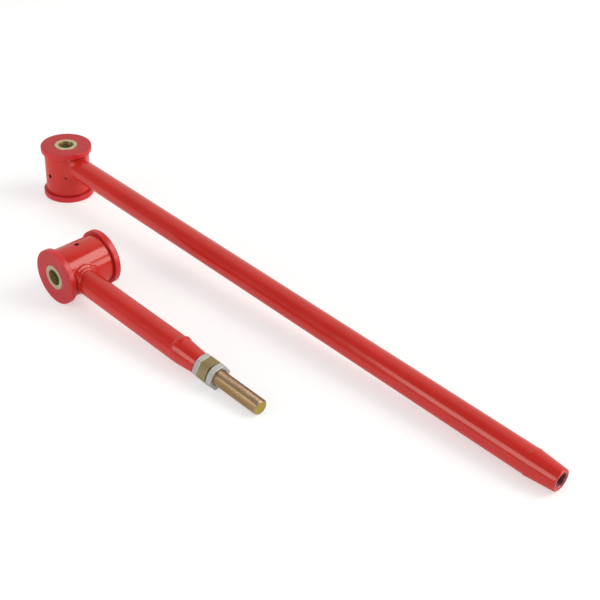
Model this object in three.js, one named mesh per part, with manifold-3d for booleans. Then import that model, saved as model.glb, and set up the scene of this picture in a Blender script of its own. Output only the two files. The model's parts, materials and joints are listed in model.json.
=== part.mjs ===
// Adjustable panhard bar (lateral rod) for a live axle, lying on a bench as two unscrewed halves.
// Millimetres, +Z up, +X along the long half from its bush eye to its threaded mouth.
// The origin is the middle of the bounding box, on the bench.
import * as THREE from 'three';
import { mergeVertices } from 'three/addons/utils/BufferGeometryUtils.js';
import Module from 'manifold-3d';

const wasm = await Module();
wasm.setup();

// Each half has its own frame: X along the tube from the bush axis, Z along the bush axis.
// The tube is welded off the middle of the eye, nearer the bush that faces +Z.
const LONG_MOUTH = 865.4;
const SHORT_MOUTH = 242.6;
const EYE_OFFSET = -12.3;

const TUBE_RADIUS = 15.875;
const TUBE_BORE_RADIUS = 11.875;
const TUBE_START = 12;

const HOUSING_RADIUS = 31.75;
const HOUSING_BORE_RADIUS = 26;
const HOUSING_LENGTH = 60;

// Vents drilled in the housings: [angle from the tube round the eye, height above its middle, depth].
const VENT_RADIUS = 2.9;
const VENT_THROUGH = HOUSING_RADIUS - HOUSING_BORE_RADIUS + 1;
const VENT_SPOT = 1.3;
const LONG_VENTS = [[-86.5, -2.2, VENT_THROUGH], [-36.5, 1.6, VENT_SPOT]];
const SHORT_VENTS = [[96, 0, VENT_THROUGH]];

const BUSH_HALF_LENGTH = 38;
const BUSH_INNER_END = 1;
const BUSH_FLANGE_RADIUS = 35.85;
const BUSH_EDGE = 1.2;
const SLEEVE_HALF_LENGTH = 38.3;
const SLEEVE_RADIUS = 16.2;
const SLEEVE_BORE_RADIUS = 10.2;
const SLEEVE_CHAMFER = 0.5;

const EYE_WELD_LEG = 6;
const EYE_WELD_BITE = 1;
// The fillet's face in shares of its leg: [out from the tube, along it from the housing].
const EYE_WELD_FACE = [[1, 0.15], [0.66, 0.6], [0.2, 1]];

const BUNG_LENGTH = 34.6;
const BUNG_SPIGOT = 22;
const BUNG_MOUTH_RADIUS = 13.35;
const BUNG_RIM = 1.4;
const SEAM_HALF_GAP = 2.5;
const SEAM_HALF_WIDTH = 5;
const SEAM_ROOT_RADIUS = TUBE_BORE_RADIUS + 0.3;
const SEAM_CROWN_RADIUS = 16.4;
const SEAM_SHOULDER_RADIUS = 16.2;
const SEAM_SHOULDER = 2.75;

const THREAD_RADIUS = 9.525;
const THREAD_BORE_RADIUS = 9.62;
const MOUTH_COUNTERSINK = 0.3;
const STUD_TIP = 338.8;
const STUD_CHAMFER = 1.4;
const STUD_NECK_RADIUS = 8.4;
const STUD_NECK_LENGTH = 2;
const HEX_START = 251.4;
const HEX_END = 264.3;
const HEX_ACROSS_FLATS = 28;
const HEX_CORNER_RADIUS = HEX_ACROSS_FLATS / 2 / Math.cos(Math.PI / 6);
const HEX_TURN = 4.5;
const NUT_THICKNESS = 8.2;
const NUT_CHAMFER_RADIUS = 13.5;
const NUT_CHAMFER_SLOPE = Math.tan(THREE.MathUtils.degToRad(30));
const NUT_COUNTERSINK = 0.9;
const LEFT_NUT_START = SHORT_MOUTH + 0.3;
const RIGHT_NUT_START = HEX_END + 1;

// How the two halves lie on the bench, with the long eye above the X origin.
const LONG_EYE_HEIGHT = 51.78;
const LONG_SLOPE = 2.434;
const SHORT_EYE = [234.3, -152.8, 35.87];
const SHORT_YAW = 2.3;
const SHORT_SLOPE = 4.47;
const SHORT_ROLL = 90;

const FIT_GAP = 0.1;
const FLANGE_GAP = 0.4;
const OVERCUT = 1;
const SEGMENTS = 48;
// How far the middle of a quarter round stands in from the corner, as a share of its radius.
const ROUND_INSET = 1 - Math.SQRT1_2;

const POWDER_COAT = { color: 0xbf2a26, roughness: 0.3, metalness: 0 };
const POLYURETHANE = { color: 0xc23a44, roughness: 0.55, metalness: 0 };
const SLEEVE_ZINC = { color: 0xb7a982, roughness: 0.4, metalness: 0.8 };
const YELLOW_ZINC = { color: 0xa8904f, roughness: 0.35, metalness: 0.9 };
const CLEAR_ZINC = { color: 0xb4b7b3, roughness: 0.4, metalness: 0.9 };

function degrees(angle) {
  return THREE.MathUtils.degToRad(angle);
}

// Points (radius, height) turned about Z, anticlockwise when seen with the radius to the right.
function turned(points) {
  const profile = points.map(([radius, height]) => new THREE.Vector2(radius, height));
  return new THREE.LatheGeometry(profile, SEGMENTS).rotateX(Math.PI / 2);
}

function turnedAlongX(points) {
  return turned(points).rotateY(Math.PI / 2);
}

function ring(innerRadius, outerRadius, start, end) {
  return [
    [innerRadius, start],
    [outerRadius, start],
    [outerRadius, end],
    [innerRadius, end],
    [innerRadius, start],
  ];
}

function rod(radius, start, end) {
  return [[0, start], [radius, start], [radius, end], [0, end]];
}

function hexPrismAlongX(start, end) {
  const prism = new THREE.CylinderGeometry(HEX_CORNER_RADIUS, HEX_CORNER_RADIUS, end - start, 6);
  prism.rotateZ(-Math.PI / 2).rotateX(degrees(HEX_TURN));
  return prism.translate((start + end) / 2, 0, 0);
}

// The geometry as a manifold body, without seams or triangles of no area.
function body(geometry) {
  const bare = new THREE.BufferGeometry();
  bare.setAttribute('position', geometry.getAttribute('position'));
  bare.setIndex(geometry.getIndex());
  const merged = mergeVertices(bare, 1e-4);
  const corners = merged.getIndex().array;
  const triangles = [];
  for (let i = 0; i < corners.length; i += 3) {
    const [a, b, c] = [corners[i], corners[i + 1], corners[i + 2]];
    if (a !== b && b !== c && c !== a) triangles.push(a, b, c);
  }
  return new wasm.Manifold(new wasm.Mesh({
    numProp: 3,
    vertProperties: new Float32Array(merged.getAttribute('position').array),
    triVerts: new Uint32Array(triangles),
  }));
}

function geometryOf(manifold) {
  const mesh = manifold.getMesh();
  const geometry = new THREE.BufferGeometry();
  geometry.setAttribute('position', new THREE.BufferAttribute(mesh.vertProperties, 3));
  geometry.setIndex(new THREE.BufferAttribute(mesh.triVerts, 1));
  geometry.computeVertexNormals();
  return geometry;
}

function named(name, geometry, finish) {
  const mesh = new THREE.Mesh(geometry, new THREE.MeshStandardMaterial(finish));
  mesh.name = name;
  return mesh;
}

function housingBlank(radius) {
  const half = HOUSING_LENGTH / 2;
  return body(turned(rod(radius, EYE_OFFSET - half, EYE_OFFSET + half)));
}

function eyeHousing(vents) {
  const half = HOUSING_LENGTH / 2;
  const profile = ring(HOUSING_BORE_RADIUS, HOUSING_RADIUS, EYE_OFFSET - half, EYE_OFFSET + half);
  let housing = body(turned(profile));
  for (const [angle, height, depth] of vents) {
    const drill = turnedAlongX(rod(VENT_RADIUS, HOUSING_RADIUS - depth, HOUSING_RADIUS + OVERCUT));
    drill.rotateZ(degrees(angle)).translate(0, 0, EYE_OFFSET + height);
    housing = housing.subtract(body(drill));
  }
  return geometryOf(housing);
}

// The tube is coped to sit on the round of the housing.
function tube(mouth) {
  const end = mouth - BUNG_LENGTH - SEAM_HALF_GAP;
  const pipe = body(turnedAlongX(ring(TUBE_BORE_RADIUS, TUBE_RADIUS, TUBE_START, end)));
  return geometryOf(pipe.subtract(housingBlank(HOUSING_RADIUS + FIT_GAP / 2)));
}

// How far out along X the round of the housing lies, at a radius and angle around the tube.
function housingSurface(radius, angle) {
  return Math.sqrt(HOUSING_RADIUS ** 2 - (radius * Math.cos(angle)) ** 2);
}

// One slice of the fillet weld: root, toe on the housing, rounded face, toe on the tube.
function eyeWeldSlice(angle) {
  const root = TUBE_RADIUS - EYE_WELD_BITE;
  const toe = TUBE_RADIUS + EYE_WELD_LEG;
  const face = EYE_WELD_FACE.map(([out, along]) => {
    const radius = TUBE_RADIUS + EYE_WELD_LEG * out;
    return [radius, housingSurface(radius, angle) + EYE_WELD_LEG * along];
  });
  const corners = [
    [root, housingSurface(root, angle) - EYE_WELD_BITE],
    [toe, housingSurface(toe, angle) - EYE_WELD_BITE],
    ...face,
    [root, housingSurface(root, angle) + EYE_WELD_LEG],
  ];
  return corners.map(([radius, x]) => [x, radius * Math.cos(angle), radius * Math.sin(angle)]);
}

function eyeWeld() {
  const points = [];
  const triangles = [];
  for (let i = 0; i < SEGMENTS; i += 1) points.push(...eyeWeldSlice((2 * Math.PI * i) / SEGMENTS));
  const count = points.length / SEGMENTS;
  for (let i = 0; i < SEGMENTS; i += 1) {
    const here = i * count;
    const next = ((i + 1) % SEGMENTS) * count;
    for (let j = 0; j < count; j += 1) {
      const k = (j + 1) % count;
      triangles.push(here + j, next + k, here + k, here + j, next + j, next + k);
    }
  }
  const bead = new THREE.BufferGeometry();
  bead.setAttribute('position', new THREE.Float32BufferAttribute(points.flat(), 3));
  bead.setIndex(triangles);
  const tubeBlank = body(turnedAlongX(rod(TUBE_RADIUS + FIT_GAP / 2, 0, 2 * HOUSING_RADIUS)));
  const flangeFace = EYE_OFFSET + HOUSING_LENGTH / 2 - FIT_GAP;
  const flangeRoom = rod(BUSH_FLANGE_RADIUS + FLANGE_GAP, flangeFace, flangeFace + HOUSING_RADIUS);
  const trimmed = body(bead)
    .subtract(tubeBlank)
    .subtract(housingBlank(HOUSING_RADIUS + FIT_GAP / 2))
    .subtract(body(turned(flangeRoom)));
  return geometryOf(trimmed);
}

// The weld seam between the square end of the tube and the shoulder of the bung.
function seamWeld(mouth) {
  const centre = mouth - BUNG_LENGTH;
  const root = SEAM_HALF_GAP - FIT_GAP;
  const skin = TUBE_RADIUS + FIT_GAP / 2;
  const profile = [
    [SEAM_ROOT_RADIUS, -root],
    [skin, -root],
    [skin, -SEAM_HALF_WIDTH],
    [SEAM_SHOULDER_RADIUS, -SEAM_SHOULDER],
    [SEAM_CROWN_RADIUS, 0],
    [SEAM_SHOULDER_RADIUS, SEAM_SHOULDER],
    [skin, SEAM_HALF_WIDTH],
    [skin, root],
    [SEAM_ROOT_RADIUS, root],
    [SEAM_ROOT_RADIUS, -root],
  ];
  return turnedAlongX(profile).translate(centre, 0, 0);
}

// A tapered nose with a threaded bore, spigoted into the tube.
function threadedBung(mouth) {
  const spigotRadius = TUBE_BORE_RADIUS - FIT_GAP;
  const rimRadius = BUNG_MOUTH_RADIUS;
  const inset = BUNG_RIM * ROUND_INSET;
  const profile = [
    [THREAD_BORE_RADIUS, -BUNG_SPIGOT],
    [spigotRadius, -BUNG_SPIGOT],
    [spigotRadius, SEAM_HALF_GAP],
    [TUBE_RADIUS, SEAM_HALF_GAP],
    [TUBE_RADIUS, SEAM_HALF_WIDTH],
    [rimRadius, BUNG_LENGTH - BUNG_RIM],
    [rimRadius - inset, BUNG_LENGTH - inset],
    [rimRadius - BUNG_RIM, BUNG_LENGTH],
    [THREAD_BORE_RADIUS + MOUTH_COUNTERSINK, BUNG_LENGTH],
    [THREAD_BORE_RADIUS, BUNG_LENGTH - MOUTH_COUNTERSINK],
    [THREAD_BORE_RADIUS, -BUNG_SPIGOT],
  ];
  return turnedAlongX(profile).translate(mouth - BUNG_LENGTH, 0, 0);
}

// Half of the two-piece bush: a spigot in the housing and a flange with rounded edges.
function bushHalf(side) {
  const bore = SLEEVE_RADIUS + FIT_GAP;
  const spigot = HOUSING_BORE_RADIUS - FIT_GAP;
  const flangeStart = HOUSING_LENGTH / 2 + FIT_GAP / 2;
  const rim = BUSH_FLANGE_RADIUS;
  const edge = BUSH_EDGE;
  const inset = edge * ROUND_INSET;
  const profile = [
    [bore, BUSH_INNER_END],
    [spigot, BUSH_INNER_END],
    [spigot, flangeStart],
    [rim - edge, flangeStart],
    [rim - inset, flangeStart + inset],
    [rim, flangeStart + edge],
    [rim, BUSH_HALF_LENGTH - edge],
    [rim - inset, BUSH_HALF_LENGTH - inset],
    [rim - edge, BUSH_HALF_LENGTH],
    [bore, BUSH_HALF_LENGTH],
    [bore, BUSH_INNER_END],
  ];
  const half = turned(profile);
  if (side < 0) half.rotateX(Math.PI);
  return half.translate(0, 0, EYE_OFFSET);
}

function sleeve() {
  const end = SLEEVE_HALF_LENGTH;
  const chamfer = SLEEVE_CHAMFER;
  const profile = [
    [SLEEVE_BORE_RADIUS, chamfer - end],
    [SLEEVE_BORE_RADIUS + chamfer, -end],
    [SLEEVE_RADIUS - chamfer, -end],
    [SLEEVE_RADIUS, chamfer - end],
    [SLEEVE_RADIUS, end - chamfer],
    [SLEEVE_RADIUS - chamfer, end],
    [SLEEVE_BORE_RADIUS + chamfer, end],
    [SLEEVE_BORE_RADIUS, end - chamfer],
    [SLEEVE_BORE_RADIUS, chamfer - end],
  ];
  return turned(profile).translate(0, 0, EYE_OFFSET);
}

// Left-hand thread inside the short half, hex in the middle, right-hand thread outward.
function adjusterStud() {
  const inner = HEX_START + HEX_END - STUD_TIP;
  const profile = [
    [0, inner],
    [THREAD_RADIUS - STUD_CHAMFER, inner],
    [THREAD_RADIUS, inner + STUD_CHAMFER],
    [THREAD_RADIUS, HEX_START - STUD_NECK_LENGTH],
    [STUD_NECK_RADIUS, HEX_START - STUD_NECK_LENGTH],
    [STUD_NECK_RADIUS, HEX_END + STUD_NECK_LENGTH],
    [THREAD_RADIUS, HEX_END + STUD_NECK_LENGTH],
    [THREAD_RADIUS, STUD_TIP - STUD_CHAMFER],
    [THREAD_RADIUS - STUD_CHAMFER, STUD_TIP],
    [0, STUD_TIP],
  ];
  return geometryOf(body(turnedAlongX(profile)).add(body(hexPrismAlongX(HEX_START, HEX_END))));
}

// A thin hex nut, chamfered on the face toward the bush eye and countersunk on both faces.
function jamNut(start) {
  const end = start + NUT_THICKNESS;
  const widest = HEX_CORNER_RADIUS + OVERCUT;
  const chamferDepth = (widest - NUT_CHAMFER_RADIUS) * NUT_CHAMFER_SLOPE;
  const cone = [
    [0, start],
    [NUT_CHAMFER_RADIUS, start],
    [widest, start + chamferDepth],
    [widest, end],
    [0, end],
  ];
  const wide = THREAD_BORE_RADIUS + NUT_COUNTERSINK + OVERCUT;
  const bore = [
    [0, start - OVERCUT],
    [wide, start - OVERCUT],
    [THREAD_BORE_RADIUS, start + NUT_COUNTERSINK],
    [THREAD_BORE_RADIUS, end - NUT_COUNTERSINK],
    [wide, end + OVERCUT],
    [0, end + OVERCUT],
  ];
  const nut = body(hexPrismAlongX(start, end))
    .intersect(body(turnedAlongX(cone)))
    .subtract(body(turnedAlongX(bore)));
  return geometryOf(nut);
}

// The welded bar, its two bush halves and its sleeve.
function barHalf(prefix, mouth, vents, bushNames) {
  const half = new THREE.Group();
  half.name = `${prefix}_half`;
  half.add(
    named(`${prefix}_tube`, tube(mouth), POWDER_COAT),
    named(`${prefix}_eye_housing`, eyeHousing(vents), POWDER_COAT),
    named(`${prefix}_eye_weld`, eyeWeld(), POWDER_COAT),
    named(`${prefix}_threaded_bung`, threadedBung(mouth), POWDER_COAT),
    named(`${prefix}_bung_weld`, seamWeld(mouth), POWDER_COAT),
    named(bushNames[0], bushHalf(1), POLYURETHANE),
    named(bushNames[1], bushHalf(-1), POLYURETHANE),
    named(`${prefix}_sleeve`, sleeve(), SLEEVE_ZINC),
  );
  return half;
}

const LONG_BUSHES = ['long_bushing_upper', 'long_bushing_lower'];
const longHalf = barHalf('long', LONG_MOUTH, LONG_VENTS, LONG_BUSHES);
longHalf.position.set(0, 0, LONG_EYE_HEIGHT);
longHalf.rotation.set(0, degrees(LONG_SLOPE), 0);

const SHORT_BUSHES = ['short_bushing_front', 'short_bushing_rear'];
const shortHalf = barHalf('short', SHORT_MOUTH, SHORT_VENTS, SHORT_BUSHES);
shortHalf.position.set(...SHORT_EYE);
shortHalf.rotation.set(degrees(SHORT_ROLL), degrees(SHORT_SLOPE), degrees(SHORT_YAW), 'ZYX');
shortHalf.add(
  named('jam_nut_left_hand', jamNut(LEFT_NUT_START), CLEAR_ZINC),
  named('adjuster_stud', adjusterStud(), YELLOW_ZINC),
  named('jam_nut_right_hand', jamNut(RIGHT_NUT_START), CLEAR_ZINC),
);

const panhardBar = new THREE.Group();
panhardBar.name = 'adjustable_panhard_bar';
panhardBar.add(longHalf, shortHalf);
const box = new THREE.Box3().setFromObject(panhardBar, true);
const middle = box.getCenter(new THREE.Vector3());
for (const half of panhardBar.children) half.position.sub(new THREE.Vector3(middle.x, middle.y, box.min.z));

export default panhardBar;
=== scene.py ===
"""Adjustable panhard bar, unscrewed into its two halves on a pale bench.

Every piece is rebuilt finely around the CAD node it stands for. Each half has its own frame, taken from
the joints: X along the tube from the bush axis, Z along the bush axis. Lengths are in metres.
"""

import json
import math

import bmesh
import bpy
import numpy as np
from mathutils import Matrix, Vector


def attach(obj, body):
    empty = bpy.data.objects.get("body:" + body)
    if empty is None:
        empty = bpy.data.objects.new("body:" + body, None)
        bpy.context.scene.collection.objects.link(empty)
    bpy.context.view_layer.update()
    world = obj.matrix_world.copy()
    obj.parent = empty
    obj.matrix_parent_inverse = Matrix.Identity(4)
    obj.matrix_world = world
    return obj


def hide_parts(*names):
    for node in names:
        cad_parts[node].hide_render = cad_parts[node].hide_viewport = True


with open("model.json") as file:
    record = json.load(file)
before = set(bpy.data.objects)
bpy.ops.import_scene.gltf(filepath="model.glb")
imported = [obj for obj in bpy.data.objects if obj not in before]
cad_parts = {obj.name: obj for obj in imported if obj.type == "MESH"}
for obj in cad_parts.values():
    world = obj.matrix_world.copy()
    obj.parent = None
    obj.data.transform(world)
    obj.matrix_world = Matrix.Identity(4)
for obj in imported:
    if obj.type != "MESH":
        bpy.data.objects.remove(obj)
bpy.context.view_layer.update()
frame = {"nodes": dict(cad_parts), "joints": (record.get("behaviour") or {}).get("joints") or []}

MM = 0.001
TURN = 2 * math.pi
JOINTS = {joint["name"]: joint for joint in frame["joints"]}
SMOOTH_ANGLE = math.radians(32)
CRISP_ANGLE = math.radians(12)

# Camera, in the row frame.
CAMERA_PLACE = Vector((0.8413, -0.6900, 0.7558))
CAMERA_HEADING = math.radians(135.21)
CAMERA_PITCH = math.radians(33.23)
CAMERA_ROLL = math.radians(1.53)
CAMERA_LENS = 65.3
CAMERA_SENSOR = 36

# Light levels, where 1 is the white of the bench.
AMBIENT = 0.6
BENCH_GLOW = 0.5
BENCH_GLOW_REFLECTED = 0.2
WARM = (1.0, 0.96, 0.86)
BACKDROP = ((0.2, (0.13, 0.17, 0.21)), (0.55, (0.86, 0.84, 0.77)))

# Points round a turned piece: plain ones, and ones with welds, threads or large curves.
ROUND = 128
FINE = 192

# Threads: 16 to the inch, cut to three fifths of the pitch, with this many rows of points a pitch.
THREAD_PITCH = 25.4 * MM / 16
THREAD_DEPTH = 0.6 * THREAD_PITCH
THREAD_FLAT = 0.125
THREAD_ROWS = 10
# The bung's thread is a little shallower, wider by the clearance, and starts this far inside the mouth.
BUNG_THREAD_DEPTH = 0.9 * THREAD_DEPTH
THREAD_CLEARANCE = 0.1 * MM
THREAD_LEAD = 0.8 * MM

# The welded bar: walls, how far the tube bites into the housing, and eased edges.
TUBE_WALL = 4 * MM
TUBE_BITE = 1 * MM
TUBE_EDGE = 0.3 * MM
HOUSING_WALL = 5.75 * MM
HOUSING_EDGES = (0.3 * MM, 0.8 * MM, 0.8 * MM, 0.3 * MM)

# The bung's hidden parts, as depths below the tube's skin.
BUNG_SHOULDER_DEPTH = 3 * MM
BUNG_SEAT_DEPTH = 4.1 * MM

# Bushes: clearances to the sleeve and the housing, and rounded edges.
BUSH_CLEARANCE = 0.12 * MM
BUSH_SPIGOT_DEPTH = 5.9 * MM
BUSH_GAP = 0.05 * MM
BUSH_MIDDLE_GAP = 1 * MM
BUSH_DISH = 0.1 * MM
BUSH_EDGES = (0, 0, 0, 1.0 * MM, 1.2 * MM, 0.5 * MM)

# Stud and nuts. The hex's own colour sets in between the two tint radii.
HEX_TINT = (11.2 * MM, 11.8 * MM)
NECK_DEPTH = 1.1 * MM
NECK_LENGTH = 0.6 * MM
NECK_BLEND = 1.2 * MM
HEX_EASE = 0.25 * MM
HEX_BLUNT = 0.2 * MM
STUD_CHAMFER = 1.4 * MM
NUT_BLUNT = 0.3 * MM
NUT_FACE_RADIUS = 13.5 * MM
NUT_CHAMFER_ANGLE = math.radians(30)
NUT_EASE = 0.18 * MM
NUT_EDGE = 0.7 * MM
NUT_COUNTERSINK = 1.0 * MM

# Vents: (angle round the eye, height off its middle, depth). A deep one is painted near black below its
# mouth, as painted shade down the hole.
VENT_RADIUS = 2.9 * MM
VENT_POINTS = 32
DEEP_VENT = 2 * MM
HOLE_SHADE_DEPTH = 1 * MM
# How the coat rounds a vent's edge: (distance out from the housing's skin, share of the vent's radius).
VENT_MOUTH = ((-0.9 * MM, 1.0), (-0.4 * MM, 1.06), (-0.05 * MM, 1.22), (3 * MM, 1.25))
VENTS = {"long": ((-86.5, -2.2 * MM, 5 * MM), (-36.5, 1.6 * MM, 1.9 * MM)), "short": ((96, 0, 5 * MM),)}

# The eye weld: its leg, how far its toe wanders, how hollow it is, and its gap to the bush flange.
EYE_WELD_LEG = 6.4 * MM
EYE_WELD_LEAST_LEG = 1.2 * MM
EYE_WELD_WANDER = 0.5 * MM
EYE_WELD_HOLLOW = 0.7
EYE_WELD_ROOT = 1.5 * MM
EYE_WELD_FLANGE_GAP = 0.2 * MM
EYE_WELD_RIPPLE = 0.08 * MM
EYE_WELD_CROWN = 0.3 * MM
EYE_WELD_STEPS = 41
# Ridges across the weld's face: (place from the housing's toe, 0, to the tube's, 1; height; width).
WELD_RIDGES = ((0.3, 0.35 * MM, 0.1), (0.66, 0.35 * MM, 0.08), (0.95, 0.2 * MM, 0.05))

# A seam's bead: its height, the angle round the bar where it is laid thin, by what share, over what angle.
SEAM_RISE = {"long": (0.45 * MM, 140, 0.7, 35), "short": (1.5 * MM, 137, 1.0, 100)}
SEAM_CREST = -0.25
SEAM_WANDER = 0.3 * MM
SEAM_RIPPLE = 0.05 * MM
SEAM_ROOT_DEPTH = 2 * MM
SEAM_STEPS = 33
DROP_HEIGHT = 0.35 * MM
DROP_SIZE = 1.1 * MM
# Weld drops by the seam: (distance along the bar from its middle, angle round the bar).
SEAM_DROPS = {
    "long": ((2.2 * MM, 154), (-1.8 * MM, 106)),
    "short": ((2.0 * MM, 358), (-1.0 * MM, 50), (0.0, 26)),
}

# The bung's rim, and the sleeve with the seam of the tube it is cut from.
RIM_EDGE = 1.5 * MM
# The lip where the bung's flat face turns into its bore: (out from the bore, in from the face).
MOUTH_LIP = ((0.75 * MM, 0), (0.3 * MM, 0.12 * MM), (0, 0.5 * MM))
SLEEVE_WALL = 6.0 * MM
SLEEVE_CHAMFER = 0.5 * MM
SLEEVE_SEAM = math.radians(137)
SLEEVE_SEAM_HEIGHT = 0.5 * MM
SLEEVE_SEAM_WIDTH = 0.9 * MM

BENCH_SIZE = 14


# Half frames and measurements ------------------------------------------------------------------------


def half_matrix(pivot, bar_axis):
    """The matrix of a half's frame: Z along the bush axis, X along the bar, origin at the eye's middle."""
    z = Vector(JOINTS[pivot]["axis"]).normalized()
    x = (bar_axis - bar_axis.dot(z) * z).normalized()
    y = z.cross(x)
    matrix = Matrix((x, y, z)).transposed().to_4x4()
    matrix.translation = Vector(JOINTS[pivot]["pos_m"])
    return matrix


def local_points(node, matrix):
    """The node's vertices in a half's frame, as a numpy array."""
    inverse = matrix.inverted()
    return np.array([inverse @ v.co for v in frame["nodes"][node].data.vertices])


class Half:
    """One half of the bar: its frame and the sizes read off its CAD nodes."""

    def __init__(self, prefix, pivot, bar_axis, bushes):
        self.prefix = prefix
        self.bushes = bushes
        self.body = prefix + "_bar"
        self.matrix = half_matrix(pivot, bar_axis)
        tube = local_points(prefix + "_tube", self.matrix)
        lift = (tube[:, 2].min() + tube[:, 2].max()) / 2
        self.matrix = self.matrix @ Matrix.Translation((0, 0, lift))
        self.eye = -lift
        self.tube_radius = (tube[:, 1].max() - tube[:, 1].min()) / 2
        self.tube_end = tube[:, 0].max()
        self.mouth = self.span("threaded_bung")[1][0]
        self.housing_radius = self.span("eye_housing")[1][1]
        self.housing_half = self.span("eye_housing")[1][2] - self.eye
        self.sleeve_radius = self.span("sleeve")[1][1]
        self.sleeve_bore = self.sleeve_radius - SLEEVE_WALL
        self.sleeve_half = self.span("sleeve")[1][2] - self.eye
        self.seam = sum(self.span("bung_weld")[i][0] for i in (0, 1)) / 2
        self.seam_half = self.span("bung_weld")[1][0] - self.seam
        self.thread_shift = 0.0

    def span(self, part):
        """Lowest and highest corner of one of the half's nodes, in the half's frame."""
        points = local_points(f"{self.prefix}_{part}", self.matrix)
        return points.min(0), points.max(0)


def thread_meeting(long_half, short_half):
    """How far along the bar the long bung's thread is shifted, so the stud's thread fits it once swung in."""
    swing = JOINTS["bench_swing"]
    pivot = Matrix.Translation(swing["pos_m"])
    turn = Matrix.Rotation(math.radians(swing["range_deg"][1]), 4, Vector(swing["axis"]))
    met = long_half.matrix.inverted() @ pivot @ turn @ pivot.inverted() @ short_half.matrix
    across = met.to_3x3() @ Vector((0, 1, 0))
    return met.translation.x - THREAD_PITCH * math.atan2(across.z, across.y) / TURN


# Mesh helpers ----------------------------------------------------------------------------------------


def angles(count):
    return np.arange(count) * TURN / count


def rounded(points, radii, steps=5):
    """A closed outline with each corner replaced by a curve that starts its own radius away."""
    outline = []
    count = len(points)
    for i, corner in enumerate(points):
        here = np.array(corner, float)
        if not radii[i]:
            outline.append(here)
            continue
        before = np.array(points[i - 1], float) - here
        after = np.array(points[(i + 1) % count], float) - here
        reach = min(radii[i], np.linalg.norm(before) / 2, np.linalg.norm(after) / 2)
        start = here + before / np.linalg.norm(before) * reach
        end = here + after / np.linalg.norm(after) * reach
        for t in np.linspace(0, 1, steps + 1):
            outline.append((1 - t) ** 2 * start + 2 * t * (1 - t) * here + t * t * end)
    return outline


def along_bar(x, radius, theta):
    """Points round the bar's axis. x and radius may be numbers or one value for each angle."""
    x = np.broadcast_to(x, theta.shape)
    return np.stack([x, radius * np.cos(theta), radius * np.sin(theta)], axis=1)


def along_bush(height, radius, theta):
    """Points round the bush axis of a half, the height counted from the tube's axis."""
    height = np.broadcast_to(height, theta.shape)
    return np.stack([radius * np.cos(theta), radius * np.sin(theta), height], axis=1)


def turned(outline, place, count=ROUND):
    """Rows of points for a closed outline of (radius, distance) turned round an axis."""
    theta = angles(count)
    return np.array([place(distance, radius, theta) for radius, distance in outline])


def skin(name, rows, ring=True, smooth=SMOOTH_ANGLE):
    """A closed mesh over rows of points. With ring the last row joins the first, else the ends are capped."""
    count, around = rows.shape[:2]
    mesh = bmesh.new()
    verts = [mesh.verts.new(point) for point in rows.reshape(-1, 3)]
    for i in range(count if ring else count - 1):
        for j in range(around):
            k = (j + 1) % around
            below = (i + 1) % count
            corners = (i * around + j, i * around + k, below * around + k, below * around + j)
            mesh.faces.new([verts[c] for c in corners])
    if not ring:
        mesh.faces.new(verts[:around])
        mesh.faces.new(verts[-around:])
    bmesh.ops.recalc_face_normals(mesh, faces=mesh.faces)
    data = bpy.data.meshes.new(name)
    mesh.to_mesh(data)
    mesh.free()
    data.shade_smooth()
    data.set_sharp_from_angle(angle=smooth)
    piece = bpy.data.objects.new(name, data)
    bpy.context.scene.collection.objects.link(piece)
    return piece


def fit(piece, half, body, node, slot, *materials):
    """Puts a piece in the half's frame, on its body, in place of its CAD node."""
    piece.matrix_world = half.matrix
    if not piece.data.materials:
        for material in materials:
            piece.data.materials.append(material)
    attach(piece, body)
    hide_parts(node)


def drill(piece, cutter, *materials):
    """Cuts the cutter out of the piece and deletes the cutter. Both carry the same materials."""
    for each in (piece, cutter):
        if not each.data.materials:
            for material in materials:
                each.data.materials.append(material)
    cut = piece.modifiers.new("cut", "BOOLEAN")
    cut.operation = "DIFFERENCE"
    cut.solver = "EXACT"
    cut.object = cutter
    graph = bpy.context.evaluated_depsgraph_get()
    data = bpy.data.meshes.new_from_object(piece.evaluated_get(graph))
    piece.modifiers.remove(cut)
    old = piece.data
    piece.data = data
    bpy.data.meshes.remove(old)
    bpy.data.objects.remove(cutter)


# Shader helpers --------------------------------------------------------------------------------------


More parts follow.
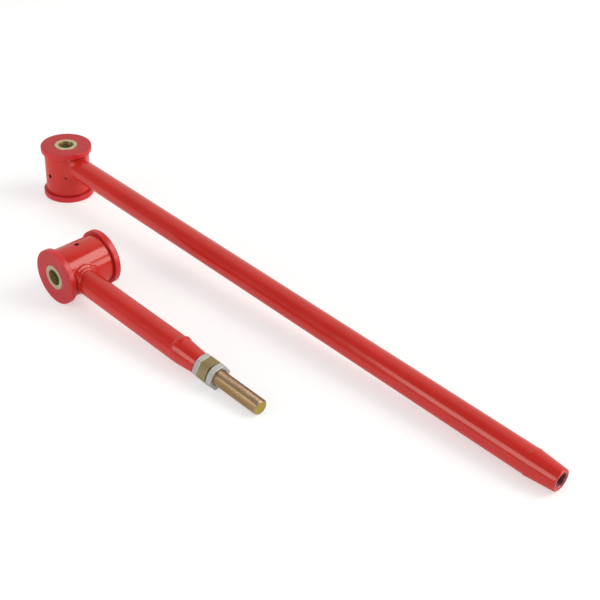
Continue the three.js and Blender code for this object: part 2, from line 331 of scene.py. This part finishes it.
class Shader:
    """The nodes of a material or a world being built, with short calls for the ones used often."""

    def __init__(self, owner, surface="Principled BSDF"):
        owner.use_nodes = True
        self.owner = owner
        self.nodes = owner.node_tree.nodes
        self.links = owner.node_tree.links
        self.surface = self.nodes[surface]
        self.coordinates = self.nodes.new("ShaderNodeTexCoord").outputs
        self.place = self.coordinates["Object"]

    def node(self, kind, **inputs):
        made = self.nodes.new(kind)
        for key, value in inputs.items():
            self.put(value, made.inputs[key.replace("_", " ")])
        return made

    def put(self, value, socket):
        if isinstance(value, bpy.types.NodeSocket):
            self.links.new(value, socket)
        else:
            socket.default_value = value

    def noise(self, scale, detail=2.0, roughness=0.5, stretch=(1, 1, 1)):
        mapping = self.node("ShaderNodeMapping", Vector=self.place, Scale=stretch)
        made = self.node("ShaderNodeTexNoise", Vector=mapping.outputs["Vector"], Scale=scale)
        made.inputs["Detail"].default_value = detail
        made.inputs["Roughness"].default_value = roughness
        return made.outputs["Fac"]

    def ramp(self, value, stops):
        made = self.node("ShaderNodeValToRGB", Fac=value)
        elements = made.color_ramp.elements
        while len(elements) < len(stops):
            elements.new(0.5)
        for element, (position, colour) in zip(elements, stops):
            element.position = position
            element.color = (*colour, 1)
        return made.outputs["Color"]

    def level(self, value, low, high, start=0.0, end=1.0):
        """The value, rescaled from start..end to low..high."""
        made = self.node("ShaderNodeMapRange", Value=value)
        for key, number in (("From Min", start), ("From Max", end), ("To Min", low), ("To Max", high)):
            made.inputs[key].default_value = number
        return made.outputs["Result"]

    def math(self, operation, first, second):
        made = self.nodes.new("ShaderNodeMath")
        made.operation = operation
        self.put(first, made.inputs[0])
        self.put(second, made.inputs[1])
        return made.outputs[0]

    def normal(self):
        """The surface's direction in the piece's own frame, split into X, Y and Z."""
        return self.node("ShaderNodeSeparateXYZ", Vector=self.coordinates["Normal"])

    def radius(self, split, first="Y", second="Z"):
        """Distance from the axis that the two named coordinates are square to."""
        squares = [self.math("MULTIPLY", split.outputs[key], split.outputs[key]) for key in (first, second)]
        return self.math("SQRT", self.math("ADD", *squares), 0)

    def mix(self, factor, first, second):
        """Mixes two colours, either of which may be a plain colour or a socket."""
        made = self.nodes.new("ShaderNodeMix")
        made.data_type = "RGBA"
        self.put(factor, made.inputs["Factor"])
        for key, value in (("A", first), ("B", second)):
            socket = next(s for s in made.inputs if s.type == "RGBA" and s.name == key)
            self.put(value if isinstance(value, bpy.types.NodeSocket) else (*value, 1), socket)
        return next(s for s in made.outputs if s.type == "RGBA")

    def bump(self, *layers):
        """Stacks bumps given as (height value, distance in metres)."""
        normal = None
        for height, distance in layers:
            made = self.node("ShaderNodeBump", Height=height, Distance=distance)
            if normal:
                self.links.new(normal, made.inputs["Normal"])
            normal = made.outputs["Normal"]
        self.links.new(normal, self.surface.inputs["Normal"])

    def finish(self, **inputs):
        for key, value in inputs.items():
            self.put(value, self.surface.inputs[key.replace("_", " ")])
        return self.owner


# Finishes --------------------------------------------------------------------------------------------


def powder_coat():
    """Glossy red powder coat: faint cloudiness, orange peel and a few dull handling marks."""
    coat = Shader(bpy.data.materials.new("powder_coat"))
    cloud = coat.noise(14, 4)
    colour = coat.ramp(cloud, [(0.3, (0.51, 0.016, 0.010)), (0.7, (0.565, 0.020, 0.013))])
    marks = coat.noise(60, 5, 0.65, (0.35, 1, 1))
    gloss = coat.level(marks, 0.13, 0.2, 0.35, 0.75)
    coat.bump((coat.noise(420, 1), 0.012 * MM), (coat.noise(90, 2), 0.01 * MM))
    return coat.finish(Base_Color=colour, Roughness=gloss)


def polyurethane():
    """Moulded red polyurethane: waxy rims and duller flange faces. Its colour holds painted light: the rims a
    lighter red, the flange faces a darker, faintly purple red as painted shade and painted sheen.
    """
    poly = Shader(bpy.data.materials.new("polyurethane"))
    cloud = poly.noise(35, 4, 0.6)
    # Painted light: lit and shaded copies of the one red, the lighter for the rims, the darker purple-tinted
    # one for the flange faces.
    rim = poly.ramp(cloud, [(0.3, (0.53, 0.010, 0.013)), (0.7, (0.59, 0.014, 0.018))])
    dull = poly.ramp(cloud, [(0.3, (0.435, 0.016, 0.021)), (0.7, (0.49, 0.022, 0.028))])
    facing = poly.math("ABSOLUTE", poly.normal().outputs["Z"], 0)
    face = poly.level(facing, 0, 1, 0.85, 0.95)
    poly.bump((poly.noise(900, 2), 0.03 * MM), (poly.noise(120, 3), 0.06 * MM))
    return poly.finish(
        Base_Color=poly.mix(face, rim, dull),
        Roughness=poly.math("ADD", poly.level(cloud, 0.28, 0.36), poly.level(face, 0, 0.12)),
        Specular_IOR_Level=poly.level(face, 0.5, 0.35),
    )


def sleeve_zinc(bore_radius):
    """Pale yellow zinc on a machined sleeve, with painted shade down the bore, darker and greener there."""
    zinc = Shader(bpy.data.materials.new("sleeve_zinc"))
    cloud = zinc.noise(90, 4, 0.6)
    outside = zinc.ramp(
        cloud,
        [(0.25, (0.50, 0.40, 0.25)), (0.6, (0.61, 0.52, 0.36)), (0.85, (0.58, 0.51, 0.38))],
    )
    inside = zinc.ramp(cloud, [(0.3, (0.36, 0.28, 0.13)), (0.7, (0.50, 0.40, 0.20))])
    split = zinc.node("ShaderNodeSeparateXYZ", Vector=zinc.place)
    off_axis = zinc.radius(split, "X", "Y")
    # Painted shade: the bore and most of its chamfer take the darker, greener inside colour.
    bore = zinc.level(off_axis, 1, 0, bore_radius + 0.15 * MM, bore_radius + 0.45 * MM)
    zinc.bump((zinc.noise(700, 2), 0.02 * MM))
    return zinc.finish(
        Base_Color=zinc.mix(bore, outside, inside),
        Metallic=0.85,
        Roughness=zinc.level(cloud, 0.28, 0.42),
    )


def yellow_zinc():
    """Iridescent yellow zinc: olive gold in front, a painted highlight band, rose-brown painted shade on top,
    and a green-gold sawn end.
    """
    zinc = Shader(bpy.data.materials.new("yellow_zinc"))
    drift = zinc.noise(60, 3, 0.55, (0.3, 1, 1))
    split = zinc.node("ShaderNodeSeparateXYZ", Vector=zinc.place)
    # Painted light round the bar, set by the side across the stud: a painted highlight band toward the front,
    # darker painted shade toward the back and top; the noise adds real patchiness.
    across = zinc.level(split.outputs["Z"], 1, 0, -STUD_RADIUS, STUD_RADIUS)
    painted_light_place = zinc.math("ADD", across, zinc.level(drift, -0.06, 0.06))
    stud_light_and_shade = zinc.ramp(
        painted_light_place,
        [
            (0.0, (0.53, 0.36, 0.18)),
            (0.12, (0.55, 0.44, 0.28)),
            (0.3, (0.72, 0.52, 0.34)),
            (0.5, (0.45, 0.32, 0.24)),
            (0.62, (0.29, 0.18, 0.11)),
            (0.85, (0.32, 0.20, 0.14)),
        ],
    )
    hexagon = zinc.ramp(drift, [(0.35, (0.33, 0.24, 0.11)), (0.65, (0.42, 0.33, 0.19))])
    sawn = zinc.ramp(zinc.noise(500, 3), [(0.35, (0.50, 0.38, 0.075)), (0.7, (0.62, 0.47, 0.11))])
    flats = zinc.level(zinc.radius(split), 0, 1, *HEX_TINT)
    end_face = zinc.level(zinc.normal().outputs["X"], 0, 1, 0.95, 0.98)
    colour = zinc.mix(end_face, zinc.mix(flats, stud_light_and_shade, hexagon), sawn)
    zinc.bump((zinc.noise(900, 2), 0.02 * MM))
    return zinc.finish(Base_Color=colour, Metallic=1.0, Roughness=zinc.level(drift, 0.34, 0.44))


def clear_zinc():
    """Clear zinc on hot-forged nuts: grey, cool, and slightly mottled."""
    zinc = Shader(bpy.data.materials.new("clear_zinc"))
    mottle = zinc.noise(260, 5, 0.6)
    smear = zinc.noise(60, 2)
    colour = zinc.ramp(mottle, [(0.3, (0.56, 0.56, 0.54)), (0.7, (0.68, 0.68, 0.64))])
    zinc.bump((zinc.noise(120, 2), 0.01 * MM))
    return zinc.finish(Base_Color=colour, Metallic=1.0, Roughness=zinc.level(smear, 0.285, 0.36))


def bare_thread():
    """The masked thread in a bung's mouth: dark, oily steel with a breath of red overspray. On the stud's
    neck the same finish is painted shade.
    """
    bare = Shader(bpy.data.materials.new("bare_thread"))
    stain = bare.noise(200, 4, 0.6)
    colour = bare.ramp(stain, [(0.35, (0.32, 0.10, 0.13)), (0.7, (0.50, 0.20, 0.22))])
    bare.bump((bare.noise(800, 2), 0.02 * MM))
    return bare.finish(Base_Color=colour, Metallic=0.7, Roughness=bare.level(stain, 0.3, 0.45))


def painted_hole_shade():
    """Near-black painted shade for the depths of a vent hole."""
    hole_shade = Shader(bpy.data.materials.new("painted_hole_shade"))
    shade_noise = hole_shade.noise(500, 3)
    colour = hole_shade.ramp(shade_noise, [(0.3, (0.012, 0.009, 0.009)), (0.7, (0.035, 0.02, 0.018))])
    return hole_shade.finish(Base_Color=colour, Roughness=0.6)


def bench_white():
    """A pale matt sweep with barely visible grain."""
    bench = Shader(bpy.data.materials.new("bench_white"))
    tone = bench.ramp(bench.noise(3, 3), [(0.3, (0.53, 0.53, 0.54)), (0.7, (0.56, 0.56, 0.57))])
    reflected = bench.nodes.new("ShaderNodeLightPath").outputs["Is Glossy Ray"]
    return bench.finish(
        Base_Color=tone,
        Roughness=0.9,
        Specular_IOR_Level=0.1,
        Emission_Color=(1, 1, 1, 1),
        Emission_Strength=bench.level(reflected, BENCH_GLOW, BENCH_GLOW_REFLECTED),
    )


# The welded bar --------------------------------------------------------------------------------------


def make_tube(half):
    """The plain tube, coped at the eye by simply running into the housing's wall."""
    theta = angles(ROUND)
    radius = half.tube_radius
    inner = radius - TUBE_WALL
    cope = np.sqrt((half.housing_radius - TUBE_BITE) ** 2 - (radius * np.cos(theta)) ** 2)
    rows = [
        along_bar(cope, inner, theta),
        along_bar(cope, radius, theta),
        along_bar(half.tube_end - TUBE_EDGE, radius, theta),
        along_bar(half.tube_end, radius - TUBE_EDGE, theta),
        along_bar(half.tube_end, inner, theta),
    ]
    return skin(half.prefix + "_tube_skin", np.array(rows))


def make_housing(half):
    """The eye housing with eased edges and its drilled vents."""
    bore = half.housing_radius - HOUSING_WALL
    low, high = half.eye - half.housing_half, half.eye + half.housing_half
    outline = rounded(
        [(bore, low), (half.housing_radius, low), (half.housing_radius, high), (bore, high)],
        HOUSING_EDGES,
    )
    piece = skin(half.prefix + "_housing_skin", turned(outline, along_bush, FINE))
    for angle, height, depth in VENTS[half.prefix]:
        drill(piece, vent_cutter(half, angle, height, depth), coat, hole_shade)
    piece.data.shade_smooth()
    piece.data.set_sharp_from_angle(angle=SMOOTH_ANGLE)
    return piece


def vent_cutter(half, angle, height, depth):
    """A drill into the housing wall, opened at the mouth where the coat has rounded the edge."""
    skin_at = half.housing_radius
    theta = angles(VENT_POINTS)
    stations = [(-depth, 1.0), *VENT_MOUTH]
    rows = np.array([along_bar(skin_at + x, VENT_RADIUS * spread, theta) for x, spread in stations])
    cutter = skin("cutter", rows, ring=False)
    # Painted shade: below its mouth a deep vent's wall takes the near-black hole finish.
    for polygon in cutter.data.polygons:
        polygon.material_index = int(depth > DEEP_VENT and polygon.center.x < skin_at - HOLE_SHADE_DEPTH)
    turn = Matrix.Rotation(math.radians(angle), 4, "Z")
    cutter.matrix_world = Matrix.Translation((0, 0, half.eye + height)) @ turn
    bpy.context.view_layer.update()
    return cutter


def weld_wander(theta, seed, waves):
    """A slow, repeatable waviness between -1 and 1 round a weld."""
    wander = np.zeros_like(theta)
    for i, wave in enumerate(waves):
        wander += np.sin(wave * theta + seed * (i + 1.7)) / (i + 1)
    return wander / sum(1 / (i + 1) for i in range(len(waves)))


def make_eye_weld(half):
    """The hollow fillet between tube and housing: ridged, softly rippled, pinched under the flange."""
    theta = angles(FINE)
    seed = 1.0 if half.prefix == "long" else 2.6
    leg = EYE_WELD_LEG + EYE_WELD_WANDER * weld_wander(theta, seed, (3, 5, 8))
    ripple = EYE_WELD_RIPPLE * weld_wander(theta, seed, (21, 26))
    tube = half.tube_radius
    room = half.eye + half.housing_half - EYE_WELD_FLANGE_GAP
    top = np.sin(theta)
    limit = np.where(top > 0.05, room / np.maximum(top, 0.05), 1.0)
    toe = np.minimum(tube + leg, np.maximum(limit, tube + EYE_WELD_LEAST_LEG))

    def on_housing(radius):
        return np.sqrt(half.housing_radius**2 - (radius * np.cos(theta)) ** 2)

    root = np.full_like(theta, tube - EYE_WELD_ROOT)
    hollow, straight = EYE_WELD_HOLLOW, 1 - EYE_WELD_HOLLOW
    rows = [along_bar(on_housing(toe) - EYE_WELD_ROOT, toe - 0.6 * MM, theta)]
    for t in np.linspace(0, 1, EYE_WELD_STEPS):
        rise = 1 - math.cos(t * math.pi / 2)
        fall = 1 - math.sin(t * math.pi / 2)
        radius = tube - 0.1 * MM + (toe - tube) * (hollow * fall + straight * (1 - t))
        x = on_housing(radius) + leg * (hollow * rise + straight * t)
        ridges = sum(height * math.exp(-(((t - at) / width) ** 2)) for at, height, width in WELD_RIDGES)
        body = ridges + (EYE_WELD_CROWN + ripple) * math.sin(math.pi * t)
        rows.append(along_bar(x + body * 0.6, radius + body * 0.8, theta))
    rows.append(along_bar(on_housing(root) + leg - 1 * MM, root, theta))
    rows.append(along_bar(on_housing(root) - EYE_WELD_ROOT, root, theta))
    return skin(half.prefix + "_eye_weld_skin", np.array(rows))


def make_seam_weld(half):
    """The seam round the bung's shoulder: steep on the tube's side, running out gently on the cone."""
    theta = angles(FINE)
    seed = 0.4 if half.prefix == "long" else 3.1
    wander = SEAM_WANDER * weld_wander(theta, seed, (2, 5, 9))
    ripple = SEAM_RIPPLE * weld_wander(theta, seed, (34, 41))
    height, thin_angle, thin_share, spread = SEAM_RISE[half.prefix]
    from_thin = wrapped(theta - math.radians(thin_angle))
    rise = height * (1 - thin_share * np.exp(-((from_thin / math.radians(spread)) ** 2)))
    rows = []
    for t in np.linspace(-1, 1, SEAM_STEPS):
        reach = 1 - SEAM_CREST if t > SEAM_CREST else 1 + SEAM_CREST
        bead = 0.5 + 0.5 * math.cos((t - SEAM_CREST) / reach * math.pi)
        sunk = 0.06 * MM + 0.2 * MM * max(t - 0.3, 0)
        radius = half.tube_radius - sunk + (rise + ripple) * bead
        for place, angle in SEAM_DROPS[half.prefix]:
            radius += weld_drop(t * half.seam_half - place, theta - math.radians(angle), half.tube_radius)
        rows.append(along_bar(half.seam + t * half.seam_half + wander, radius, theta))
    root = half.tube_radius - SEAM_ROOT_DEPTH
    for side in (1, -1):
        rows.append(along_bar(half.seam + side * half.seam_half * 0.4, root, theta))
    return skin(half.prefix + "_bung_weld_skin", np.array(rows))


def wrapped(angle):
    """The angle brought between minus and plus half a turn."""
    return np.mod(angle + math.pi, TURN) - math.pi


def weld_drop(along, turn, radius):
    """Height of a small round drop, at a distance along the bar and an angle round it from its middle."""
    around = wrapped(turn) * radius
    return DROP_HEIGHT * np.exp(-(along**2 + around**2) / DROP_SIZE**2)


def thread_radius(x, theta, hand, crest, depth):
    """Radius of a 60 degree thread at a place along the bar. hand is 1 for right-hand, -1 for left-hand."""
    phase = np.mod(x / THREAD_PITCH - hand * theta / TURN, 1.0)
    flank = np.abs(phase - 0.5) * 2
    return crest - depth * np.clip((flank - THREAD_FLAT) / (1 - 2 * THREAD_FLAT), 0, 1)


def make_bung(half):
    """The tapered bung: shoulder, cone, rounded rim and a cut internal thread that is left bare."""
    theta = angles(ROUND)
    shoulder = half.seam
    nose = nose_radius(half)
    bore = STUD_RADIUS + THREAD_CLEARANCE
    seat = half.tube_radius - BUNG_SEAT_DEPTH
    outline = [
        (half.tube_radius - BUNG_SHOULDER_DEPTH, shoulder),
        (half.tube_radius, shoulder),
        (half.tube_radius, shoulder + half.seam_half * 0.6),
        (nose + (half.tube_radius - nose) * 0.97, shoulder + half.seam_half * 0.9),
    ]
    outline += nose_rim(nose, half.mouth, bore)
    rows = [along_bar(x, radius, theta) for radius, x in outline]
    bare = len(rows) - 1
    hand = 1 if half.prefix == "long" else -1
    end = half.span("threaded_bung")[0][0]
    first = half.mouth - THREAD_LEAD
    for x in np.linspace(first, end, round((first - end) / THREAD_PITCH * THREAD_ROWS)):
        radius = thread_radius(x - half.thread_shift, theta, hand, bore, BUNG_THREAD_DEPTH)
        rows.append(along_bar(x, radius, theta))
    cut = len(rows)
    rows.append(along_bar(end, seat, theta))
    rows.append(along_bar(shoulder, seat, theta))
    piece = skin(half.prefix + "_bung_skin", np.array(rows))
    for polygon in piece.data.polygons[bare * ROUND : cut * ROUND]:
        polygon.material_index = 1
    return piece


def nose_radius(half):
    """The bung's radius at its mouth, read off its CAD node."""
    points = local_points(half.prefix + "_threaded_bung", half.matrix)
    last = points[points[:, 0] > half.mouth - 2 * MM]
    return np.hypot(last[:, 1], last[:, 2]).max()


def nose_rim(nose, mouth, bore):
    """The rounded rim and flat face of a bung, ending at the lip of its bore."""
    rim = []
    for a in np.linspace(0, math.pi / 2, 7):
        rim.append((nose - RIM_EDGE * (1 - math.cos(a)), mouth - RIM_EDGE * (1 - math.sin(a))))
    return rim + [(bore + out, mouth - inward) for out, inward in MOUTH_LIP]


# Bushes and sleeves ----------------------------------------------------------------------------------


def make_bush(half, node, side):
    """Half of the bush: spigot, flange with rounded edges, and a face dished very slightly to the bore."""
    points = local_points(node, half.matrix)
    reach = np.abs(points[:, 2] - half.eye).max()
    rim = np.hypot(points[:, 0], points[:, 1]).max()
    bore = half.sleeve_radius + BUSH_CLEARANCE
    spigot = half.housing_radius - BUSH_SPIGOT_DEPTH
    under = half.housing_half + BUSH_GAP
    corners = [
        (bore, BUSH_MIDDLE_GAP),
        (spigot, BUSH_MIDDLE_GAP),
        (spigot, under),
        (rim, under),
        (rim, reach),
        (bore, reach - BUSH_DISH),
    ]
    outline = rounded(corners, BUSH_EDGES, steps=6)
    rows = turned([(r, half.eye + side * h) for r, h in outline], along_bush, FINE)
    return skin(node + "_skin", rows)


def make_sleeve(half):
    """The crush sleeve: chamfered ends, and the low inner seam of the drawn tube it is cut from."""
    bore = half.sleeve_bore
    end = half.sleeve_half
    chamfer = SLEEVE_CHAMFER
    theta = angles(FINE)
    lap = wrapped(theta - SLEEVE_SEAM) * bore
    seam = SLEEVE_SEAM_HEIGHT * np.exp(-((lap / SLEEVE_SEAM_WIDTH) ** 2))
    outer = [
        (half.sleeve_radius - chamfer, -end),
        (half.sleeve_radius - chamfer * 0.4, chamfer * 0.2 - end),
        (half.sleeve_radius, chamfer - end),
        (half.sleeve_radius, end - chamfer),
        (half.sleeve_radius - chamfer * 0.4, end - chamfer * 0.2),
        (half.sleeve_radius - chamfer, end),
    ]
    inner = [
        (bore + chamfer, end),
        (bore + chamfer * 0.5, end - chamfer * 0.3),
        (bore - seam, end - chamfer * 1.4),
        (bore - seam, chamfer * 1.4 - end),
        (bore + chamfer * 0.5, chamfer * 0.3 - end),
        (bore + chamfer, -end),
    ]
    rows = [along_bush(half.eye + height, radius, theta) for radius, height in outer + inner]
    return skin(half.prefix + "_sleeve_skin", np.array(rows))


# Stud and nuts ---------------------------------------------------------------------------------------


def hex_radius(theta, across_flats, turn, blunt):
    """Radius of a hexagon outline at each angle, with its corners blunted to a radius."""
    sector = np.mod(theta - turn, TURN / 6) - TURN / 12
    flat = across_flats / 2
    return np.minimum(flat / np.cos(sector), flat / math.cos(TURN / 12) - blunt)


def hex_corner_angle(node, half):
    """The angle round the bar of one corner of a hexagonal CAD node."""
    points = local_points(node, half.matrix)
    radii = np.hypot(points[:, 1], points[:, 2])
    far = points[radii.argmax()]
    return math.atan2(far[2], far[1])


def make_stud(half):
    """Left-hand thread, neck, hex, neck, right-hand thread, all as one turned surface."""
    node = "adjuster_stud"
    points = local_points(node, half.matrix)
    radii = np.hypot(points[:, 1], points[:, 2])
    inner, tip = points[:, 0].min(), points[:, 0].max()
    hex_points = points[radii > STUD_RADIUS + 3 * MM]
    start, end = hex_points[:, 0].min(), hex_points[:, 0].max()
    theta = angles(FINE)
    turn = hex_corner_angle(node, half)
    hexagon = hex_radius(theta, HEX_FLATS, turn, HEX_BLUNT)
    neck = STUD_RADIUS - NECK_DEPTH
    rows = threaded_rows(inner, start - NECK_BLEND, theta, -1, inner)
    rows += [along_bar(start - NECK_LENGTH, neck, theta), along_bar(start, neck, theta)]
    rows += [
        along_bar(start, hexagon - HEX_EASE, theta),
        along_bar(start + HEX_EASE * 0.5, hexagon, theta),
        along_bar(end - HEX_EASE * 0.5, hexagon, theta),
        along_bar(end, hexagon - HEX_EASE, theta),
    ]
    shaded_neck_row = len(rows)
    rows += [along_bar(end, neck, theta), along_bar(end + NECK_LENGTH, neck, theta)]
    rows += threaded_rows(end + NECK_BLEND, tip, theta, 1, tip)
    piece = skin(node + "_skin", np.array(rows), ring=False)
    # Painted shade: the neck between the hex and the right-hand thread takes the dark red thread finish, for
    # the shaded gap beside the nut.
    for polygon in piece.data.polygons[shaded_neck_row * FINE : (shaded_neck_row + 2) * FINE]:
        polygon.material_index = 1
    return piece


def threaded_rows(start, end, theta, hand, free_end):
    """Rows of a cut thread from start to end, run out into a chamfer at its free end."""
    rows = []
    count = int((end - start) / THREAD_PITCH * THREAD_ROWS)
    for x in np.linspace(start, end, count + 1):
        radius = thread_radius(x, theta, hand, STUD_RADIUS, THREAD_DEPTH)
        chamfer = STUD_RADIUS - STUD_CHAMFER + abs(x - free_end)
        rows.append(along_bar(x, np.minimum(radius, chamfer), theta))
    return rows


def make_nut(half, node):
    """A thin nut: 30 degree chamfer on the face toward the eye, flat outer face, countersunk bore."""
    points = local_points(node, half.matrix)
    start, end = points[:, 0].min(), points[:, 0].max()
    theta = angles(FINE)
    hexagon = hex_radius(theta, HEX_FLATS, hex_corner_angle(node, half), NUT_BLUNT)
    face = NUT_FACE_RADIUS
    chamfer = start + np.maximum(hexagon - face, 0) * math.tan(NUT_CHAMFER_ANGLE)
    bore = STUD_RADIUS + THREAD_CLEARANCE
    ease = NUT_EASE
    edge = NUT_EDGE
    sink = NUT_COUNTERSINK
    rows = [
        along_bar(start + sink, bore, theta),
        along_bar(start, bore + sink, theta),
        along_bar(start, face - ease, theta),
        along_bar(start + ease * 0.3, face, theta),
        along_bar(chamfer - ease * 0.4, hexagon - ease, theta),
        along_bar(chamfer + ease, hexagon, theta),
        along_bar(end - edge, hexagon, theta),
        along_bar(end - edge * 0.3, hexagon - edge * 0.3, theta),
        along_bar(end, hexagon - edge, theta),
        along_bar(end, bore + sink, theta),
        along_bar(end - sink, bore, theta),
    ]
    return skin(node + "_skin", np.array(rows), smooth=CRISP_ANGLE)


def stud_radius(half):
    """The thread's outer radius, read off the stud's tip."""
    points = local_points("adjuster_stud", half.matrix)
    outer = points[points[:, 0] > points[:, 0].max() - 20 * MM]
    return np.hypot(outer[:, 1], outer[:, 2]).max()


def hex_flats(half):
    """Size across flats, from the distance of the hex's corners from the axis."""
    points = local_points("adjuster_stud", half.matrix)
    return np.hypot(points[:, 1], points[:, 2]).max() * math.cos(TURN / 12) * 2


# Stage -----------------------------------------------------------------------------------------------


def probe(half, height):
    """An empty that rides on the short bar at a bush face, so the bench can tell how low it hangs."""
    empty = bpy.data.objects.new("probe", None)
    bpy.context.scene.collection.objects.link(empty)
    empty.matrix_world = half.matrix @ Matrix.Translation((0, 0, height))
    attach(empty, half.body)
    return empty


def make_bench(half, reach, rim):
    """The pale bench. It drops out of the way when a pose carries the short eye below it."""
    mesh = bmesh.new()
    bmesh.ops.create_grid(mesh, x_segments=1, y_segments=1, size=BENCH_SIZE / 2)
    data = bpy.data.meshes.new("bench")
    mesh.to_mesh(data)
    mesh.free()
    bench = bpy.data.objects.new("bench", data)
    bpy.context.scene.collection.objects.link(bench)
    data.materials.append(bench_white())
    curve = bench.driver_add("location", 2).driver
    curve.type = "SCRIPTED"
    for name, height in (("front", half.eye + reach), ("rear", half.eye - reach)):
        variable = curve.variables.new()
        variable.name = name
        variable.type = "TRANSFORMS"
        target = variable.targets[0]
        target.id = probe(half, height)
        target.transform_type = "LOC_Z"
        target.transform_space = "WORLD_SPACE"
    tilt = f"(front - rear) / {2 * reach:.5f}"
    drop = f"min(front, rear) - {rim:.5f} * sqrt(max(0, 1 - {tilt} * {tilt}))"
    curve.expression = f"min(0, {drop})"


def softbox(name, place, width, height, level, reflects=True, shines=True):
    """An area light aimed at the origin, its face as bright as level, where 1 is the white of the bench."""
    light = bpy.data.lights.new(name, "AREA")
    light.shape = "RECTANGLE"
    light.size = width
    light.size_y = height
    light.energy = level * math.pi * width * height
    light.color = WARM
    lamp = bpy.data.objects.new(name, light)
    bpy.context.scene.collection.objects.link(lamp)
    lamp.visible_glossy = reflects
    lamp.visible_diffuse = shines
    lamp.location = place
    lamp.rotation_mode = "QUATERNION"
    lamp.rotation_quaternion = Vector(place).to_track_quat("Z", "Y")


def make_world():
    """White to the eye and even for matt surfaces; polish reflects a bright far and a dark near side."""
    world = Shader(bpy.data.worlds.new("studio"), "Background")
    path = world.nodes.new("ShaderNodeLightPath").outputs
    toward = world.nodes.new("ShaderNodeVectorMath")
    toward.operation = "DOT_PRODUCT"
    toward.inputs[1].default_value = (math.cos(CAMERA_HEADING), math.sin(CAMERA_HEADING), 0)
    world.put(world.coordinates["Generated"], toward.inputs[0])
    backdrop = world.ramp(toward.outputs["Value"], BACKDROP)
    colour = world.mix(path["Is Glossy Ray"], (AMBIENT, AMBIENT, AMBIENT), backdrop)
    colour = world.mix(path["Is Camera Ray"], colour, (1.0, 1.0, 1.0))
    bpy.context.scene.world = world.finish(Color=colour)


def make_camera():
    camera = bpy.data.objects.new("camera", bpy.data.cameras.new("camera"))
    bpy.context.scene.collection.objects.link(camera)
    flat = Vector((math.cos(CAMERA_HEADING), math.sin(CAMERA_HEADING), 0))
    forward = flat * math.cos(CAMERA_PITCH) - Vector((0, 0, math.sin(CAMERA_PITCH)))
    level = forward.cross(Vector((0, 0, 1))).normalized()
    up = level.cross(forward)
    right = level * math.cos(CAMERA_ROLL) + up * math.sin(CAMERA_ROLL)
    upright = right.cross(forward)
    matrix = Matrix((right, upright, -forward)).transposed().to_4x4()
    matrix.translation = CAMERA_PLACE
    camera.matrix_world = matrix
    camera.data.sensor_width = CAMERA_SENSOR
    camera.data.lens = CAMERA_LENS
    bpy.context.scene.camera = camera


# Build -----------------------------------------------------------------------------------------------

bar_axis = Vector(JOINTS["right_thread_travel"]["axis"])
long_half = Half("long", "long_eye_pivot", Vector((1, 0, 0)), ("long_bushing_upper", "long_bushing_lower"))
short_half = Half("short", "short_eye_pivot", bar_axis, ("short_bushing_front", "short_bushing_rear"))
long_half.thread_shift = thread_meeting(long_half, short_half)
STUD_RADIUS = stud_radius(short_half)
HEX_FLATS = hex_flats(short_half)

coat = powder_coat()
poly = polyurethane()
pale_zinc = sleeve_zinc(long_half.sleeve_bore)
gold_zinc = yellow_zinc()
grey_zinc = clear_zinc()
thread_and_neck_shade = bare_thread()
hole_shade = painted_hole_shade()

welded = {
    "tube": make_tube,
    "eye_housing": make_housing,
    "eye_weld": make_eye_weld,
    "threaded_bung": make_bung,
    "bung_weld": make_seam_weld,
}
for half in (long_half, short_half):
    for part, make in welded.items():
        fit(make(half), half, half.body, f"{half.prefix}_{part}", "powder_coat", coat, thread_and_neck_shade)
    for node, side in zip(half.bushes, (1, -1)):
        fit(make_bush(half, node, side), half, half.body, node, "polyurethane", poly)
    sleeve = make_sleeve(half)
    fit(sleeve, half, half.prefix + "_sleeve", half.prefix + "_sleeve", "sleeve_zinc", pale_zinc)

# The stud's second finish, the dark thread, is painted shade on its neck.
fit(make_stud(short_half), short_half, "adjuster", "adjuster_stud", "yellow_zinc", gold_zinc, thread_and_neck_shade)
for node, body in (("jam_nut_left_hand", "left_jam_nut"), ("jam_nut_right_hand", "right_jam_nut")):
    fit(make_nut(short_half, node), short_half, body, node, "clear_zinc", grey_zinc)

bush_points = local_points(short_half.bushes[0], short_half.matrix)
bush_reach = bush_points[:, 2].max() - short_half.eye
bush_rim = np.hypot(bush_points[:, 0], bush_points[:, 1]).max()
make_bench(short_half, bush_reach, bush_rim)
make_world()
make_camera()
softbox("key", (2.33, 2.60, 3.34), 2.75, 2.47, 5.1)
softbox("side", (3.11, 2.06, 0.80), 2.1, 1.35, 4.0)
softbox("fill", (0.05, -1.6, 0.85), 1.7, 1.05, 3.1, shines=False)
softbox("front", (-1.2, -2.0, 0.9), 1.6, 1.0, 3.5, reflects=False)
bpy.context.scene.view_settings.view_transform = "Standard"
